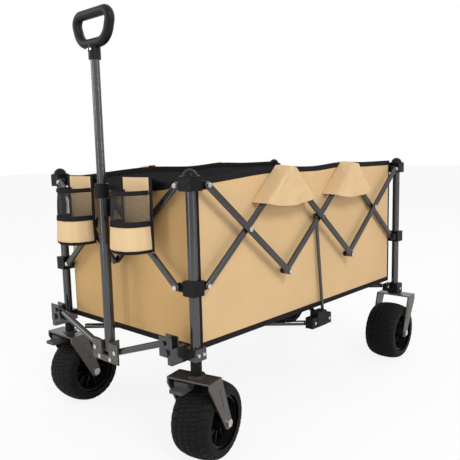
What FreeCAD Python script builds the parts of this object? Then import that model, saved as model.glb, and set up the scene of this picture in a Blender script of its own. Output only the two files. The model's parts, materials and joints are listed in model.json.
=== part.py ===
import FreeCAD, Part
import math
import os
import Sketcher
from FreeCAD import Placement, Rotation, Vector

# A folding beach cart: four posts on swivel casters, joined by scissor bars on
# the two long sides and the two ends, with a cloth bag hung between them.
# Front is -Y (the handle end), rear is +Y, right is +X, ground is z = 0.

doc = FreeCAD.newDocument("folding_cart")
UP = Vector(0, 0, 1)
RIGHT = Vector(1, 0, 0)
REARWARD = Vector(0, 1, 0)

size = {
    # whole frame
    "post_gap_x": 518.0,
    "post_gap_y": 944.0,
    "ear_height": 636.0,
    "ear_gap": 225.0,
    "ear_inset": 31.8,
    "shift_x": -0.408,
    "shift_y": -16.844,
    # scissor bars
    "bar_width": 16.0,
    "bar_depth": 9.0,
    "bar_edge": 3.2,
    "bar_hole": 3.05,
    "layer_low": -3.0,
    "layer_pitch": 10.0,
    "play": 0.5,
    # rivets
    "pin_radius": 3.0,
    "pin_reach": 10.0,
    "long_pin_reach": 21.0,
    "head_radius": 5.5,
    "head_depth": 2.5,
    # corner pieces
    "post_radius": 11.0,
    "post_bore": 9.4,
    "post_foot": 247.0,
    "post_length": 393.0,
    "cap_side": 36.0,
    "cap_tall": 31.0,
    "cap_dome": 17.0,
    "cap_bore": 11.1,
    "cap_bore_deep": 17.0,
    "ear_thick": 7.0,
    "ear_tall": 20.0,
    "ear_round": 10.0,
    "slider_side": 34.0,
    "slider_tall": 34.0,
    "slider_bore": 11.3,
    # lower fittings
    "sleeve_radius": 13.0,
    "sleeve_length": 33.5,
    "stem_bore": 8.06,
    "strap_side": 34.0,
    "strap_tall": 28.0,
    "rear_foot_side": 36.0,
    "lug_wide": 40.0,
    "lug_plate": 3.0,
    "lug_tall": 46.0,
    "lug_gap": 17.0,
    "web_thick": 14.0,
    "web_deep": 44.0,
    "web_tall": 38.0,
    "bolt_radius": 4.0,
    "bolt_depth": 3.0,
    "tow_pin_radius": 3.5,
    "tow_pin_reach": 25.0,
    "plug_radius": 8.0,
    "plug_depth": 5.0,
    # casters
    "wheel_radius": 92.0,
    "tyre_half": 49.0,
    "bead_radius": 62.0,
    "shoulder_bend": 22.0,
    "rim_half": 40.0,
    "rim_wall": 4.0,
    "web_half": 4.0,
    "hub_radius": 19.0,
    "hub_half": 50.5,
    "hub_bore": 6.06,
    "axle_radius": 6.0,
    "axle_length": 114.4,
    "axle_head_radius": 9.5,
    "axle_head_depth": 5.0,
    "trail": 40.0,
    "fork_gap": 106.0,
    "fork_sheet": 4.0,
    "fork_outside": 114.0,
    "fork_deep": 50.0,
    "fork_crown": 210.0,
    "fork_toe": 15.0,
    "crown_lead": 10.0,
    "stem_radius": 8.0,
    "stem_length": 52.0,
    "race_radius": 20.0,
    "race_depth": 3.0,
    "pedal_wide": 34.0,
    "pedal_tab_gap": 36.0,
    "pedal_tab_deep": 18.0,
    "pedal_tab_tall": 17.0,
    "pedal_tab_thick": 2.5,
    "pedal_pin_length": 46.0,
    "pedal_deep": 26.0,
    "pedal_tall": 20.0,
    "pedal_lip_deep": 24.0,
    "pedal_lip_tall": 8.0,
    # centre struts
    "strut_radius": 4.5,
    "hub_block_x": 26.0,
    "hub_block_y": 44.0,
    "hub_block_z": 42.0,
    "hub_end_x": 24.0,
    "hub_end_y": 24.0,
    "hub_end_z": 30.0,
    # tow bars and handle
    "tow_radius": 8.0,
    "tow_hole": 3.55,
    "tow_end": 8.0,
    "plate_wide": 104.0,
    "plate_thick": 4.0,
    "plate_tall": 50.0,
    "plate_slot": 29.0,
    "cheek_thick": 3.0,
    "cheek_deep": 30.0,
    "cheek_tall": 28.0,
    "tilt_pin_radius": 4.0,
    "tilt_pin_length": 34.0,
    "tilt_hole": 4.05,
    "lower_radius": 13.0,
    "lower_bore": 11.0,
    "lower_length": 380.0,
    "collar_radius": 17.5,
    "collar_bore": 10.8,
    "collar_length": 34.0,
    "upper_radius": 10.5,
    "upper_bore": 9.2,
    "upper_length": 386.0,
    "neck_radius": 14.5,
    "neck_length": 32.0,
    "grip_radius": 11.5,
    "grip_tall": 67.0,
    # cloth parts
    "bag_x": 494.0,
    "bag_y": 920.0,
    "bag_tall": 402.0,
    "bag_wall": 4.0,
    "bag_corner": 30.0,
    "mat_x": 480.0,
    "mat_y": 906.0,
    "mat_thick": 8.0,
    "cup_half": 55.0,
    "cup_half_in": 52.0,
    "cup_wide": 110.0,
    "cup_wide_in": 104.0,
    "cup_back": 15.0,
    "cup_back_in": 12.0,
    "cup_tall": 136.0,
    "cup_deep": 133.0,
    "panel_tall": 171.0,
    "panel_thick": 4.0,
    "flap_deep": 39.0,
    # folding frame under the floor
    "under_radius": 7.0,
    "under_disc": 20.0,
    "under_disc_thick": 3.5,
}

half_x = size["post_gap_x"] / 2
half_y = size["post_gap_y"] / 2
half_gap = size["ear_gap"] / 2
side_run = half_y - size["ear_inset"]
end_run = half_x - size["ear_inset"]

# The outer half of every bar is the same length, so one angle folds all four
# faces. The inner halves fill what is left of each face.
OUTER_RUN = 135.1
side_share = (side_run / OUTER_RUN - 1) / 2
end_share = end_run / OUTER_RUN - 1
outer_half = math.hypot(OUTER_RUN, half_gap)
tow_pivot = Vector(222.0, -521.5, size["ear_height"] - 344)
plate_pivot = Vector(40.0, -521.5, size["ear_height"] - 407)
size["side_bar"] = outer_half * (1 + side_share)
size["side_half_bar"] = outer_half * side_share
size["end_bar"] = outer_half * (1 + end_share)
size["tow_bar"] = (tow_pivot - plate_pivot).Length
strut_foot = Vector(0, 32, size["ear_height"] - 406)
size["strut_length"] = math.hypot(strut_foot.y, size["ear_height"] - half_gap - strut_foot.z)

# The under tubes run from beside each post to the far centre strut.
under_corner = Vector(228, 441, 0)
under_hub = Vector(246, 34, 0)
size["under_bar"] = math.hypot(under_corner.x + under_hub.x, under_corner.y - under_hub.y)

# The brake pedal's pivot, from the caster's stem.
brake_x = -20.0
brake_y = -17.0
brake_z = 196.0
handle_y = -518.0

corners = {"fr": (1, -1), "fl": (-1, -1), "rr": (1, 1), "rl": (-1, 1)}
side_layer = {"fr": (2, 1), "fl": (2, 1), "rr": (1, 0), "rl": (1, 0)}  # cap, slider
end_layer = {"fr": (1, 2), "fl": (2, 1), "rr": (1, 2), "rl": (2, 1)}
caster_turn = {"fr": 13.0, "fl": 2.0, "rr": 183.0, "rl": -8.0}

sheet = doc.addObject("Spreadsheet::Sheet", "dims")
for row, (alias, number) in enumerate(size.items(), 1):
    sheet.set(f"A{row}", alias)
    sheet.set(f"B{row}", str(number))
    sheet.setAlias(f"B{row}", alias)
doc.recompute()

nodes = []


def at(x, y, z):
    return Vector(x + size["shift_x"], y + size["shift_y"], z)


handle_foot = at(0, handle_y, size["ear_height"] - 400)


def bind(piece, **cells):
    for name, alias in cells.items():
        piece.setExpression(name, f"dims.{alias}")
    return piece


def block(name, lengths, middle):
    piece = doc.addObject("Part::Box", name)
    bind(piece, Length=lengths[0], Width=lengths[1], Height=lengths[2])
    half = Vector(*(size[alias] for alias in lengths)) * 0.5
    piece.Placement = Placement(Vector(middle) - half, Rotation())
    return piece


def rod(name, radius, length, start, along):
    piece = bind(doc.addObject("Part::Cylinder", name), Radius=radius, Height=length)
    piece.Placement = Placement(Vector(start), Rotation(UP, Vector(along)))
    return piece


def ball(name, radius, middle):
    piece = bind(doc.addObject("Part::Sphere", name), Radius=radius)
    piece.Placement = Placement(Vector(middle), Rotation())
    return piece


def joined(name, pieces):
    whole = doc.addObject("Part::MultiFuse", name)
    whole.Shapes = pieces
    whole.Refine = True
    return whole


def cut(name, base, tools):
    for number, tool in enumerate(tools):
        whole = doc.addObject("Part::Cut", f"{name}_{number}")
        whole.Base = base
        whole.Tool = tool
        base = whole
    return base


def keep(label, pieces, placement=None):
    node = doc.addObject("Part::Compound", label)
    node.Links = pieces
    node.Label = label
    if placement:
        node.Placement = placement
    nodes.append(node)
    return node


def new_body(label):
    body = doc.addObject("PartDesign::Body", label)
    body.Label = label
    return body


def sketch_on(body, name, role):
    plane = next(f for f in body.Origin.OriginFeatures if f.Role == role)
    sketch = body.newObject("Sketcher::SketchObject", name)
    sketch.AttachmentSupport = (plane, [""])
    sketch.MapMode = "FlatFace"
    return sketch


def add_loop(sketch, points):
    for start, end in zip(points, points[1:] + points[:1]):
        sketch.addGeometry(Part.LineSegment(start, end))


def held_circle(sketch, centre, alias):
    index = sketch.addGeometry(Part.Circle(centre, UP, size[alias]))
    limit = sketch.addConstraint(Sketcher.Constraint("Radius", index, size[alias]))
    sketch.renameConstraint(limit, "radius")
    sketch.setExpression("Constraints.radius", f"dims.{alias}")


def slot_outline(sketch, back, front, radius):
    left = Vector(-back, 0, 0)
    right = Vector(front, 0, 0)
    rise = Vector(0, radius, 0)
    sketch.addGeometry(Part.LineSegment(left - rise, right - rise))
    sketch.addGeometry(Part.Arc(right - rise, right + Vector(radius, 0, 0), right + rise))
    sketch.addGeometry(Part.LineSegment(right + rise, left + rise))
    sketch.addGeometry(Part.Arc(left + rise, left - Vector(radius, 0, 0), left - rise))


def flat_bar(label, back, front):
    """A flat bar along +X with round ends and a pivot hole at its origin, centred on z = 0."""
    body = new_body(label)
    outline = sketch_on(body, f"{label}_outline", "XY_Plane")
    slot_outline(outline, back, front, size["bar_width"] / 2)
    pad = body.newObject("PartDesign::Pad", f"{label}_pad")
    pad.Profile = outline
    pad.Midplane = True
    bind(pad, Length="bar_depth")
    doc.recompute()
    flats = [
        f"Face{number}"
        for number, face in enumerate(pad.Shape.Faces, 1)
        if abs(face.normalAt(0, 0).z) > 0.99
    ]
    edge = body.newObject("PartDesign::Fillet", f"{label}_edges")
    edge.Base = (pad, flats)
    bind(edge, Radius="bar_edge")
    doc.recompute()
    hole = sketch_on(body, f"{label}_hole", "XY_Plane")
    held_circle(hole, Vector(0, 0, 0), "bar_hole")
    pocket = body.newObject("PartDesign::Pocket", f"{label}_pivot")
    pocket.Profile = hole
    pocket.Midplane = True
    pocket.Type = 1
    body.Tip = pocket
    nodes.append(body)
    return body


def layer_middle(layer):
    return size["layer_low"] + layer * size["layer_pitch"] + size["bar_depth"] / 2


def turned(x_axis, z_axis):
    y_axis = z_axis.cross(x_axis)
    return Rotation(x_axis, y_axis, z_axis, "XYZ")


def rivet(name, face_point, outward, reach):
    """A pin from a face with its head at the far end."""
    pin = rod(f"{name}_pin", "pin_radius", reach, face_point, outward)
    head = rod(f"{name}_head", "head_radius", "head_depth", face_point + outward * size[reach], outward)
    return joined(f"{name}_rivet", [pin, head])


def ear(name, corner, on_side, layer, height):
    """The lug that carries one bar end, with its rivet. Returns (lug pieces, rivet)."""
    sx, sy = corners[corner]
    outward = RIGHT * sx if on_side else REARWARD * sy
    inward = REARWARD * -sy if on_side else RIGHT * -sx
    post = at(sx * half_x, sy * half_y, height)
    gap = size["play"]
    bar_low = size["layer_low"] + layer * size["layer_pitch"]
    bar_high = bar_low + size["bar_depth"]
    outside = layer == 0
    lug_low = bar_high + gap if outside else bar_low - gap - size["ear_thick"]
    pivot = post + inward * size["ear_inset"] + outward * lug_low
    eye = rod(f"{name}_eye", "ear_round", "ear_thick", pivot, outward)
    middle = post + inward * (size["ear_inset"] / 2) + outward * (lug_low + size["ear_thick"] / 2)
    spans = ("ear_thick", "ear_inset") if on_side else ("ear_inset", "ear_thick")
    arm = block(f"{name}_arm", (*spans, "ear_tall"), middle)
    if outside:
        pin = rivet(name, pivot, outward * -1, "pin_reach")
    else:
        pin = rivet(name, pivot + outward * size["ear_thick"], outward, "pin_reach")
    return [eye, arm], pin


def post_cap(corner):
    sx, sy = corners[corner]
    height = size["ear_height"]
    axis = at(sx * half_x, sy * half_y, height)
    base = axis + UP * (size["cap_tall"] / 2 - 12)
    top = base + UP * (size["cap_tall"] / 2)
    side_lug, side_pin = ear(f"cap_{corner}_side", corner, True, side_layer[corner][0], height)
    end_lug, end_pin = ear(f"cap_{corner}_end", corner, False, end_layer[corner][0], height)
    cube = block(f"cap_{corner}_block", ("cap_side", "cap_side", "cap_tall"), base)
    dome = ball(f"cap_{corner}_dome", "cap_dome", top)
    shell = joined(f"cap_{corner}_shell", [cube, dome, *side_lug, *end_lug])
    bore = rod(f"cap_{corner}_bore", "cap_bore", "cap_bore_deep", axis - UP * 12.5, UP)
    hollow = cut(f"cap_{corner}_hollow", shell, [bore])
    keep(f"post_cap_{corner}", [hollow, side_pin, end_pin])


def slide_bracket(corner):
    sx, sy = corners[corner]
    height = size["ear_height"] - size["ear_gap"]
    axis = at(sx * half_x, sy * half_y, height)
    side_lug, side_pin = ear(f"slider_{corner}_side", corner, True, side_layer[corner][1], height)
    end_lug, end_pin = ear(f"slider_{corner}_end", corner, False, end_layer[corner][1], height)
    sides = ("slider_side", "slider_side", "slider_tall")
    cube = block(f"slider_{corner}_block", sides, axis - UP * 1)
    shell = joined(f"slider_{corner}_shell", [cube, *side_lug, *end_lug])
    bore = rod(f"slider_{corner}_bore", "slider_bore", "post_length", axis - UP * 100, UP)
    hollow = cut(f"slider_{corner}_hollow", shell, [bore])
    keep(f"slide_bracket_{corner}", [hollow, side_pin, end_pin])


def post_tube(corner):
    sx, sy = corners[corner]
    foot = at(sx * half_x, sy * half_y, size["post_foot"])
    outside = rod(f"tube_{corner}_outside", "post_radius", "post_length", foot, UP)
    inside = rod(f"tube_{corner}_inside", "post_bore", "post_length", foot, UP)
    return cut(f"tube_{corner}", outside, [inside])


def front_post(corner):
    """A front post carries a steel strap with a forked lug for its tow bar."""
    sx, sy = corners[corner]
    name = f"front_{corner}"
    foot = at(sx * half_x, sy * half_y, size["post_foot"] - size["sleeve_length"])
    sleeve_out = rod(f"{name}_sleeve_out", "sleeve_radius", "sleeve_length", foot, UP)
    sleeve_in = rod(f"{name}_sleeve_in", "stem_bore", "sleeve_length", foot, UP)
    sleeve = cut(f"{name}_sleeve", sleeve_out, [sleeve_in])
    strap_at = at(sx * half_x, sy * half_y, size["post_foot"] + size["strap_tall"] / 2)
    strap = block(f"{name}_strap", ("strap_side", "strap_side", "strap_tall"), strap_at)
    bore = rod(f"{name}_bore", "cap_bore", "post_length", strap_at - UP * 60, UP)
    front_face = -half_y - size["strap_side"] / 2
    lug_x = sx * (tow_pivot.x + 4)
    lug_z = tow_pivot.z - 8
    half_lug = (size["lug_gap"] + size["lug_plate"]) / 2
    lug_sides = ("lug_wide", "lug_plate", "lug_tall")
    back_plate = block(f"{name}_back_plate", lug_sides, at(lug_x, tow_pivot.y + half_lug, lug_z))
    front_plate = block(f"{name}_front_plate", lug_sides, at(lug_x, tow_pivot.y - half_lug, lug_z))
    web_y = front_face - size["web_deep"] / 2 + 1
    web_z = strap_at.z + 3
    web_x = sx * (tow_pivot.x + 4 + size["lug_wide"] / 2 - size["web_thick"] / 2)
    web = block(f"{name}_web", ("web_thick", "web_deep", "web_tall"), at(web_x, web_y, web_z))
    frame = joined(f"{name}_frame", [strap, back_plate, front_plate, web])
    bracket = cut(f"{name}_bracket", frame, [bore])
    pin_start = at(sx * tow_pivot.x, tow_pivot.y + half_lug + size["lug_plate"] / 2, tow_pivot.z)
    pin = rod(f"{name}_pin", "tow_pin_radius", "tow_pin_reach", pin_start, REARWARD * -1)
    head_at = pin_start - REARWARD * size["tow_pin_reach"]
    head = rod(f"{name}_pin_head", "head_radius", "head_depth", head_at, REARWARD * -1)
    lug_bolt = joined(f"{name}_lug_bolt", [pin, head])
    face_x = sx * (half_x + size["strap_side"] / 2)
    bolts = []
    for n, y in enumerate((-8, 8)):
        bolt_at = at(face_x, sy * half_y + y, strap_at.z)
        bolts.append(rod(f"{name}_bolt_{n}", "bolt_radius", "bolt_depth", bolt_at, RIGHT * sx))
    plug_at = at(lug_x + sx * 4, tow_pivot.y - half_lug - size["lug_plate"] / 2, lug_z - 12)
    plug = rod(f"{name}_plug", "plug_radius", "plug_depth", plug_at, REARWARD * -1)
    bracket = cut(f"{name}_bracket_pin", bracket, [lug_bolt])
    keep(f"corner_post_{corner}", [post_tube(corner), sleeve, bracket, lug_bolt, plug, *bolts])


def rear_post(corner):
    """A rear post stands in a moulded foot block."""
    sx, sy = corners[corner]
    name = f"rear_{corner}"
    foot = at(sx * half_x, sy * half_y, size["post_foot"] - size["sleeve_length"])
    middle = foot + UP * (size["sleeve_length"] / 2)
    cube = block(f"{name}_block", ("rear_foot_side", "rear_foot_side", "sleeve_length"), middle)
    bore = rod(f"{name}_bore", "stem_bore", "sleeve_length", foot, UP)
    hollow = cut(f"{name}_hollow", cube, [bore])
    face = at(sx * (half_x + size["rear_foot_side"] / 2), sy * half_y, middle.z)
    bolt = rod(f"{name}_bolt", "bolt_radius", "bolt_depth", face, RIGHT * sx)
    keep(f"corner_post_{corner}", [post_tube(corner), hollow, bolt])


def side_bars(sx):
    """Six bars on a long side: two from each end post and two crossing at the middle."""
    side = "right" if sx > 0 else "left"
    top = size["ear_height"]
    low = top - size["ear_gap"]
    middle = top - half_gap
    inner_run = OUTER_RUN * side_share
    inner_rise = half_gap * side_share
    apex = side_run - OUTER_RUN - inner_run
    bars = (
        ("front_cap_bar", 2, (-side_run, top), (-apex, middle - inner_rise)),
        ("front_slider_bar", 1, (-side_run, low), (-apex, middle + inner_rise)),
        ("rear_cap_bar", 1, (side_run, top), (apex, middle - inner_rise)),
        ("rear_slider_bar", 0, (side_run, low), (apex, middle + inner_rise)),
        ("mid_rising_bar", 1, (0, middle), (apex, middle + inner_rise)),
        ("mid_falling_bar", 2, (0, middle), (apex, middle - inner_rise)),
    )
    for name, layer, (y, z), (end_y, end_z) in bars:
        along = Vector(0, end_y - y, end_z - z).normalize()
        crossing = name.startswith("mid")
        front = size["side_half_bar"] if crossing else size["side_bar"]
        body = flat_bar(f"{side}_{name}", size["side_half_bar"] if crossing else 0, front)
        x = sx * (half_x + layer_middle(layer))
        body.Placement = Placement(at(x, y, z), turned(along, RIGHT * sx))


def end_bars(sy):
    """Four bars on an end: each post's cap bar and slider bar meet at the middle."""
    end = "rear" if sy > 0 else "front"
    top = size["ear_height"]
    low = top - size["ear_gap"]
    middle = top - half_gap
    inner_rise = half_gap * end_share
    for corner, sx in (("left", -1), ("right", 1)):
        layers = end_layer[end[0] + corner[0]]
        for name, layer, z, end_z in (
            ("cap_bar", layers[0], top, middle - inner_rise),
            ("slider_bar", layers[1], low, middle + inner_rise),
        ):
            along = Vector(-sx * end_run, 0, end_z - z).normalize()
            body = flat_bar(f"{end}_{corner}_{name}", 0, size["end_bar"])
            y = sy * (half_y + layer_middle(layer))
            body.Placement = Placement(at(sx * end_run, y, z), turned(along, REARWARD * sy))


def revolved(label, outline, placement):
    body = new_body(label)
    sketch = sketch_on(body, f"{label}_outline", "XY_Plane")
    outline(sketch)
    spin = body.newObject("PartDesign::Revolution", f"{label}_spin")
    spin.Profile = sketch
    spin.ReferenceAxis = (sketch, ["H_Axis"])
    spin.Angle = 360
    body.Tip = spin
    body.Placement = placement
    nodes.append(body)


def tyre_outline(sketch):
    wide = size["tyre_half"]
    bead = size["bead_radius"]
    tread = size["wheel_radius"]
    rim = size["rim_half"]
    bend = size["shoulder_bend"]
    wall = tread - bend
    turn = bend * math.sqrt(0.5)
    sketch.addGeometry(Part.LineSegment(Vector(-rim, bead, 0), Vector(rim, bead, 0)))
    sketch.addGeometry(Part.LineSegment(Vector(bend - wide, tread, 0), Vector(wide - bend, tread, 0)))
    for s in (1, -1):
        sketch.addGeometry(Part.LineSegment(Vector(s * rim, bead, 0), Vector(s * wide, wall, 0)))
        middle = Vector(s * (wide - bend + turn), wall + turn, 0)
        sketch.addGeometry(Part.Arc(Vector(s * wide, wall, 0), middle, Vector(s * (wide - bend), tread, 0)))


def rim_outline(sketch):
    bead = size["bead_radius"]
    wall = bead - size["rim_wall"]
    rim = size["rim_half"]
    web = size["web_half"]
    hub = size["hub_radius"]
    half = size["hub_half"]
    bore = size["hub_bore"]
    right = [
        Vector(rim, bead, 0),
        Vector(rim, wall, 0),
        Vector(web, wall - 8, 0),
        Vector(web, hub + 6, 0),
        Vector(web + 10, hub, 0),
        Vector(half, hub - 5, 0),
        Vector(half, bore, 0),
    ]
    left = [Vector(-point.x, point.y, 0) for point in reversed(right)]
    add_loop(sketch, right + left)


def caster_place(corner, forward=0.0, height=0.0):
    sx, sy = corners[corner]
    turn = Rotation(UP, caster_turn[corner])
    return Placement(at(sx * half_x, sy * half_y, height) + turn.multVec(Vector(0, forward, 0)), turn)


def wheel(corner):
    place = caster_place(corner, size["trail"], size["wheel_radius"])
    revolved(f"tyre_{corner}", tyre_outline, place)
    revolved(f"rim_{corner}", rim_outline, place)


def fork_arm(name, inner_x, direction):
    """One tapered arm of pressed sheet from the crown down to the axle."""
    back = size["fork_deep"] / 2 - size["crown_lead"]
    front = -size["fork_deep"] / 2 - size["crown_lead"]
    toe = size["fork_toe"]
    axle = Vector(0, size["trail"], size["wheel_radius"])
    body = new_body(name)
    sketch = sketch_on(body, f"{name}_outline", "YZ_Plane")
    crown = size["fork_crown"]
    rear_toe = Vector(axle.y + toe, axle.z, 0)
    front_toe = Vector(axle.y - toe * 0.95, axle.z - toe * 0.31, 0)
    low_toe = Vector(axle.y + toe * 0.5, axle.z - toe * 0.866, 0)
    sketch.addGeometry(Part.LineSegment(Vector(front, crown, 0), Vector(back, crown, 0)))
    sketch.addGeometry(Part.LineSegment(Vector(back, crown, 0), rear_toe))
    sketch.addGeometry(Part.Arc(rear_toe, low_toe, front_toe))
    sketch.addGeometry(Part.LineSegment(front_toe, Vector(front, crown - 16, 0)))
    sketch.addGeometry(Part.LineSegment(Vector(front, crown - 16, 0), Vector(front, crown, 0)))
    pad = body.newObject("PartDesign::Pad", f"{name}_pad")
    pad.Profile = sketch
    pad.Reversed = direction < 0
    bind(pad, Length="fork_sheet")
    body.Placement = Placement(Vector(inner_x, 0, 0), Rotation())
    return body


def caster_fork(corner, braked):
    name = f"fork_{corner}"
    crown = size["fork_crown"]
    half_gap_x = size["fork_gap"] / 2
    arms = [fork_arm(f"{name}_arm_{n}", s * half_gap_x, s) for n, s in enumerate((-1, 1))]
    plate_at = Vector(0, -size["crown_lead"], crown - size["fork_sheet"] / 2)
    plate = block(f"{name}_plate", ("fork_outside", "fork_deep", "fork_sheet"), plate_at)
    race = rod(f"{name}_race", "race_radius", "race_depth", Vector(0, 0, crown), UP)
    axle_at = Vector(-size["axle_length"] / 2, size["trail"], size["wheel_radius"])
    hole = rod(f"{name}_hole", "hub_bore", "axle_length", axle_at, RIGHT)
    stem_low = Vector(0, 0, crown - size["fork_sheet"] - 1)
    stem = rod(f"{name}_stem", "stem_radius", "stem_length", stem_low, UP)
    yoke_parts = [*arms, plate, race, stem]
    tabs = []
    if braked:
        for n, s in enumerate((-1, 1)):
            tab_x = brake_x + s * (size["pedal_tab_gap"] + size["pedal_tab_thick"]) / 2
            tab_at = Vector(tab_x, brake_y, crown - size["fork_sheet"] - size["pedal_tab_tall"] / 2)
            sides = ("pedal_tab_thick", "pedal_tab_deep", "pedal_tab_tall")
            tabs.append(block(f"{name}_tab_{n}", sides, tab_at))
        pin_at = Vector(brake_x - size["pedal_pin_length"] / 2, brake_y, brake_z)
        tabs.append(rod(f"{name}_pedal_pin", "pin_radius", "pedal_pin_length", pin_at, RIGHT))
    yoke = cut(f"{name}_yoke", joined(f"{name}_sheet", yoke_parts + tabs), [hole])
    bolt = rod(f"{name}_axle", "axle_radius", "axle_length", axle_at, RIGHT)
    heads = [
        rod(
            f"{name}_head_{n}",
            "axle_head_radius",
            "axle_head_depth",
            Vector(s * size["axle_length"] / 2, size["trail"], size["wheel_radius"]),
            RIGHT * s,
        )
        for n, s in enumerate((-1, 1))
    ]
    axle = joined(f"{name}_axle_bolt", [bolt, *heads])
    keep(f"caster_fork_{corner}", [yoke, axle], caster_place(corner))


def brake_pedal(corner):
    name = f"pedal_{corner}"
    heel_at = Vector(brake_x, brake_y - 5, brake_z - 5)
    heel = block(f"{name}_heel", ("pedal_wide", "pedal_deep", "pedal_tall"), heel_at)
    lip_y = heel_at.y - size["pedal_deep"] / 2 - size["pedal_lip_deep"] / 2 + 4
    lip_at = Vector(brake_x, lip_y, heel_at.z - 6)
    lip = block(f"{name}_lip", ("pedal_wide", "pedal_lip_deep", "pedal_lip_tall"), lip_at)
    hole_at = Vector(brake_x - size["pedal_pin_length"] / 2, brake_y, brake_z)
    hole = rod(f"{name}_hole", "bar_hole", "pedal_pin_length", hole_at, RIGHT)
    shoe = cut(f"{name}_shoe", joined(f"{name}_whole", [heel, lip]), [hole])
    keep(f"brake_pedal_{corner}", [shoe], caster_place(corner))


def centre_strut(sx):
    """The upright behind the middle crossing, with the hub block at its foot."""
    side = "right" if sx > 0 else "left"
    name = f"strut_{side}"
    x = sx * (half_x + layer_middle(0))
    middle = size["ear_height"] - half_gap
    crossing = at(x, 0, middle)
    foot = at(x, strut_foot.y, strut_foot.z)
    along = (crossing - foot).normalize()
    upright = rod(f"{name}_upright", "strut_radius", "strut_length", foot, along)
    eye = block(f"{name}_eye", ("bar_depth", "bar_width", "bar_width"), crossing)
    hub_top = size["ear_height"] - 380
    hub_x = sx * (half_x + 8)
    hub_at = at(hub_x, 0, hub_top - size["hub_block_z"] / 2)
    hub = block(f"{name}_hub", ("hub_block_x", "hub_block_y", "hub_block_z"), hub_at)
    end_z = hub_top - size["hub_block_z"] + size["hub_end_z"] / 2
    end_step = (size["hub_block_y"] + size["hub_end_y"]) / 2
    ends = [
        block(f"{name}_end_{n}", ("hub_end_x", "hub_end_y", "hub_end_z"), at(hub_x, s * end_step, end_z))
        for n, s in enumerate((-1, 1))
    ]
    face_x = sx * (half_x + 8 + size["hub_end_x"] / 2)
    bolts = [
        rod(f"{name}_bolt_{n}", "bolt_radius", "bolt_depth", at(face_x, s * end_step, end_z), RIGHT * sx)
        for n, s in enumerate((-1, 1))
    ]
    face = at(sx * (half_x + layer_middle(0) + size["bar_depth"] / 2), 0, middle)
    pin = rivet(name, face, RIGHT * sx, "long_pin_reach")
    blocks = cut(f"{name}_blocks", joined(f"{name}_foot", [hub, *ends]), [upright])
    keep(f"centre_strut_{side}", [joined(f"{name}_steel", [upright, eye]), blocks, pin, *bolts])


def tow_bar(sx):
    side = "right" if sx > 0 else "left"
    name = f"tow_{side}"
    start = at(sx * tow_pivot.x, tow_pivot.y, tow_pivot.z)
    finish = at(sx * plate_pivot.x, plate_pivot.y, plate_pivot.z)
    along = (finish - start).normalize()
    tube = rod(f"{name}_tube", "tow_radius", "tow_bar", start, along)
    ends = [
        rod(f"{name}_end_{n}", "tow_radius", "tow_end", point, direction)
        for n, (point, direction) in enumerate(((start, along * -1), (finish, along)))
    ]
    hole = rod(f"{name}_hole", "tow_hole", "lug_tall", start - REARWARD * 33, REARWARD)
    keep(f"tow_bar_{side}", [cut(f"{name}_bar", joined(f"{name}_whole", [tube, *ends]), [hole])])


def tow_plate():
    """The stamped plate where the two tow bars meet, with cheeks for the handle's foot."""
    half_tube = size["tow_radius"] + size["play"] + 1
    plate_y = plate_pivot.y - half_tube - size["plate_thick"] / 2
    low = size["ear_height"] - 436
    plate_at = at(0, plate_y, low + size["plate_tall"] / 2)
    plate = block("tow_plate_sheet", ("plate_wide", "plate_thick", "plate_tall"), plate_at)
    slot = block("tow_plate_gap", ("plate_slot", "cheek_deep", "plate_tall"), plate_at + UP * 16)
    cheeks = [
        block(
            f"tow_plate_cheek_{n}",
            ("cheek_thick", "cheek_deep", "cheek_tall"),
            at(
                s * (size["plate_slot"] + size["cheek_thick"]) / 2,
                plate_y + size["cheek_deep"] / 2,
                handle_foot.z,
            ),
        )
        for n, s in enumerate((-1, 1))
    ]
    sheet_metal = cut("tow_plate_cut", plate, [slot])
    whole = joined("tow_plate_whole", [sheet_metal, *cheeks])
    pin_at = handle_foot - RIGHT * (size["tilt_pin_length"] / 2)
    pin = rod("tow_plate_pin", "tilt_pin_radius", "tilt_pin_length", pin_at, RIGHT)
    face_y = plate_y - size["plate_thick"] / 2
    rivets = [
        rod(f"tow_plate_rivet_{n}", "head_radius", "head_depth", at(x, face_y, z), REARWARD * -1)
        for n, (x, z) in enumerate(
            (
                (-plate_pivot.x, plate_pivot.z),
                (plate_pivot.x, plate_pivot.z),
                (-22, low + 9),
                (22, low + 9),
            )
        )
    ]
    keep("tow_plate", [cut("tow_plate_steel", whole, [pin]), pin, *rivets])


def handle():
    foot = handle_foot - UP * 12
    outside = rod("lower_outside", "lower_radius", "lower_length", foot, UP)
    inside = rod("lower_inside", "lower_bore", "lower_length", foot, UP)
    hole_at = handle_foot - RIGHT * (size["tilt_pin_length"] / 2)
    hole = rod("lower_hole", "tilt_hole", "tilt_pin_length", hole_at, RIGHT)
    keep("handle_lower_tube", [cut("lower_tube", outside, [inside, hole])])
    collar_at = foot + UP * size["lower_length"]
    collar_out = rod("collar_outside", "collar_radius", "collar_length", collar_at, UP)
    collar_in = rod("collar_inside", "collar_bore", "collar_length", collar_at, UP)
    keep("handle_collar", [cut("collar_ring", collar_out, [collar_in])])
    upper_at = at(0, handle_y, size["ear_height"] + 290) - UP * size["upper_length"]
    upper_out = rod("upper_outside", "upper_radius", "upper_length", upper_at, UP)
    upper_in = rod("upper_inside", "upper_bore", "upper_length", upper_at, UP)
    keep("handle_upper_tube", [cut("upper_tube", upper_out, [upper_in])])
    neck_at = upper_at + UP * size["upper_length"]
    neck = rod("grip_neck", "neck_radius", "neck_length", neck_at, UP)
    loop = doc.addObject("Part::Feature", "grip_loop")
    loop.Shape = grip_loop(size["grip_radius"])
    loop.Placement = Placement(neck_at + UP * (size["neck_length"] + 5), Rotation())
    keep("handle_grip", [joined("grip_whole", [neck, loop])])


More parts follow.
